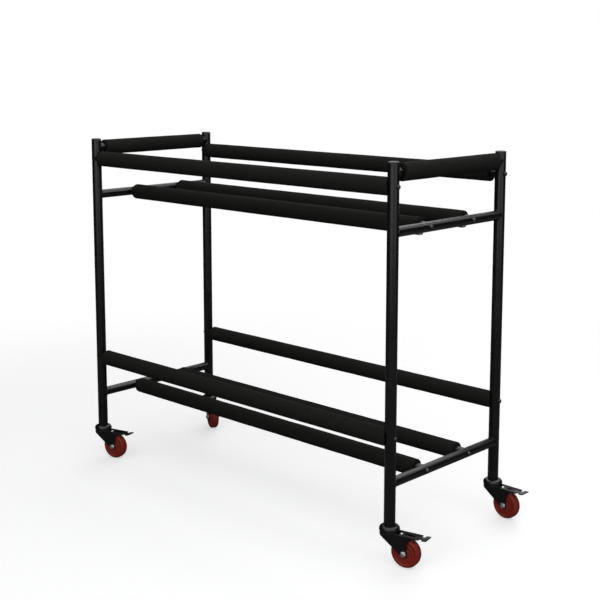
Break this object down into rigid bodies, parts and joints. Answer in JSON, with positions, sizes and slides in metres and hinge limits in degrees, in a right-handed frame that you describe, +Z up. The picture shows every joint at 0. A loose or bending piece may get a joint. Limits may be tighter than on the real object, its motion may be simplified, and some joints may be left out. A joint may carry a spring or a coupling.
{
  "type": "rolling drum rack",
  "caption": "Rolling drum storage rack in black steel tube, with two tiers of foam-covered rails and braked swivel casters.",
  "frame": {"origin": "on the floor, midway between the four posts", "axes": "+X along the rack towards the end nearer the camera, +Y across it to the back, +Z up"},
  "size_m": [1.2716, 0.4892, 0.9803],
  "materials": {
    "powder_coat": "satin",
    "foam": "matte",
    "post_cap": "satin",
    "caster_paint": "satin",
    "wheel_rubber": "satin",
    "zinc": "satin",
    "black_bolt": "satin"
  },
  "bodies": {
    "frame": {"cap_back_left": "post_cap", "cap_back_right": "post_cap", "cap_front_left": "post_cap", "cap_front_right": "post_cap", "cross_tube_lower_left": "powder_coat", "cross_tube_lower_right": "powder_coat", "cross_tube_upper_left": "powder_coat", "cross_tube_upper_right": "powder_coat", "end_bar_left": "powder_coat", "end_bar_right": "powder_coat", "end_sleeve_left": "foam", "end_sleeve_right": "foam", "post_back_left": "powder_coat", "post_back_right": "powder_coat", "post_bolt_lower_back_left": "black_bolt", "post_bolt_lower_back_right": "black_bolt", "post_bolt_lower_front_left": "black_bolt", "post_bolt_lower_front_right": "black_bolt", "post_bolt_upper_back_left": "black_bolt", "post_bolt_upper_back_right": "black_bolt", "post_bolt_upper_front_left": "black_bolt", "post_bolt_upper_front_right": "black_bolt", "post_front_left": "powder_coat", "post_front_right": "powder_coat", "rest_rail_lower_back": "powder_coat", "rest_rail_lower_front": "powder_coat", "rest_rail_upper_back": "powder_coat", "rest_rail_upper_front": "powder_coat", "rest_sleeve_lower_back": "foam", "rest_sleeve_lower_front": "foam", "rest_sleeve_upper_back": "foam", "rest_sleeve_upper_front": "foam", "side_rail_lower_back": "powder_coat", "side_rail_lower_front": "powder_coat", "side_rail_upper_back": "powder_coat", "side_rail_upper_front": "powder_coat", "side_sleeve_lower_back": "foam", "side_sleeve_lower_front": "foam", "side_sleeve_upper_back": "foam", "side_sleeve_upper_front": "foam", "swivel_head_back_left": "caster_paint", "swivel_head_back_right": "caster_paint", "swivel_head_front_left": "caster_paint", "swivel_head_front_right": "caster_paint"},
    "caster_back_left": {"axle_bolt_back_left": "zinc", "fork_back_left": "caster_paint"},
    "caster_back_right": {"axle_bolt_back_right": "zinc", "fork_back_right": "caster_paint"},
    "caster_front_left": {"axle_bolt_front_left": "zinc", "fork_front_left": "caster_paint"},
    "caster_front_right": {"axle_bolt_front_right": "zinc", "fork_front_right": "caster_paint"},
    "brake_pedal_back_left_body": {"brake_pedal_back_left": "caster_paint"},
    "brake_pedal_back_right_body": {"brake_pedal_back_right": "caster_paint"},
    "brake_pedal_front_left_body": {"brake_pedal_front_left": "caster_paint"},
    "brake_pedal_front_right_body": {"brake_pedal_front_right": "caster_paint"},
    "wheel_back_left_body": {"wheel_back_left": "wheel_rubber"},
    "wheel_back_right_body": {"wheel_back_right": "wheel_rubber"},
    "wheel_front_left_body": {"wheel_front_left": "wheel_rubber"},
    "wheel_front_right_body": {"wheel_front_right": "wheel_rubber"}
  },
  "joints": [
    {"name": "front_right_swivel", "type": "hinge", "parent": "frame", "child": "caster_front_right", "pos_m": [0.57, -0.219, 0.0755], "axis": [0, 0, 1], "continuous": true},
    {"name": "front_right_wheel_spin", "type": "hinge", "parent": "caster_front_right", "child": "wheel_front_right_body", "pos_m": [0.61499, -0.20944, 0.0375], "axis": [-0.2079, 0.9781, 0], "continuous": true},
    {"name": "front_right_brake_press", "type": "hinge", "parent": "caster_front_right", "child": "brake_pedal_front_right_body", "pos_m": [0.6013, -0.21235, 0.0807], "axis": [-0.2079, 0.9781, 0], "range_deg": [0, 11]},
    {"name": "back_right_swivel", "type": "hinge", "parent": "frame", "child": "caster_back_right", "pos_m": [0.57, 0.219, 0.0755], "axis": [0, 0, 1], "continuous": true},
    {"name": "back_right_wheel_spin", "type": "hinge", "parent": "caster_back_right", "child": "wheel_back_right_body", "pos_m": [0.61599, 0.2182, 0.0375], "axis": [0.0175, 0.9998, 0], "continuous": true},
    {"name": "back_right_brake_press", "type": "hinge", "parent": "caster_back_right", "child": "brake_pedal_back_right_body", "pos_m": [0.602, 0.21844, 0.0807], "axis": [0.0175, 0.9998, 0], "range_deg": [0, 11]},
    {"name": "front_left_swivel", "type": "hinge", "parent": "frame", "child": "caster_front_left", "pos_m": [-0.57, -0.219, 0.0755], "axis": [0, 0, 1], "continuous": true},
    {"name": "front_left_wheel_spin", "type": "hinge", "parent": "caster_front_left", "child": "wheel_front_left_body", "pos_m": [-0.52557, -0.20709, 0.0375], "axis": [-0.2588, 0.9659, 0], "continuous": true},
    {"name": "front_left_brake_press", "type": "hinge", "parent": "caster_front_left", "child": "brake_pedal_front_left_body", "pos_m": [-0.53909, -0.21072, 0.0807], "axis": [-0.2588, 0.9659, 0], "range_deg": [0, 11]},
    {"name": "back_left_swivel", "type": "hinge", "parent": "frame", "child": "caster_back_left", "pos_m": [-0.57, 0.219, 0.0755], "axis": [0, 0, 1], "continuous": true},
    {"name": "back_left_wheel_spin", "type": "hinge", "parent": "caster_back_left", "child": "wheel_back_left_body", "pos_m": [-0.52901, 0.19812, 0.0375], "axis": [0.454, 0.891, 0], "continuous": true},
    {"name": "back_left_brake_press", "type": "hinge", "parent": "caster_back_left", "child": "brake_pedal_back_left_body", "pos_m": [-0.54149, 0.20447, 0.0807], "axis": [0.454, 0.891, 0], "range_deg": [0, 11]}
  ]
}
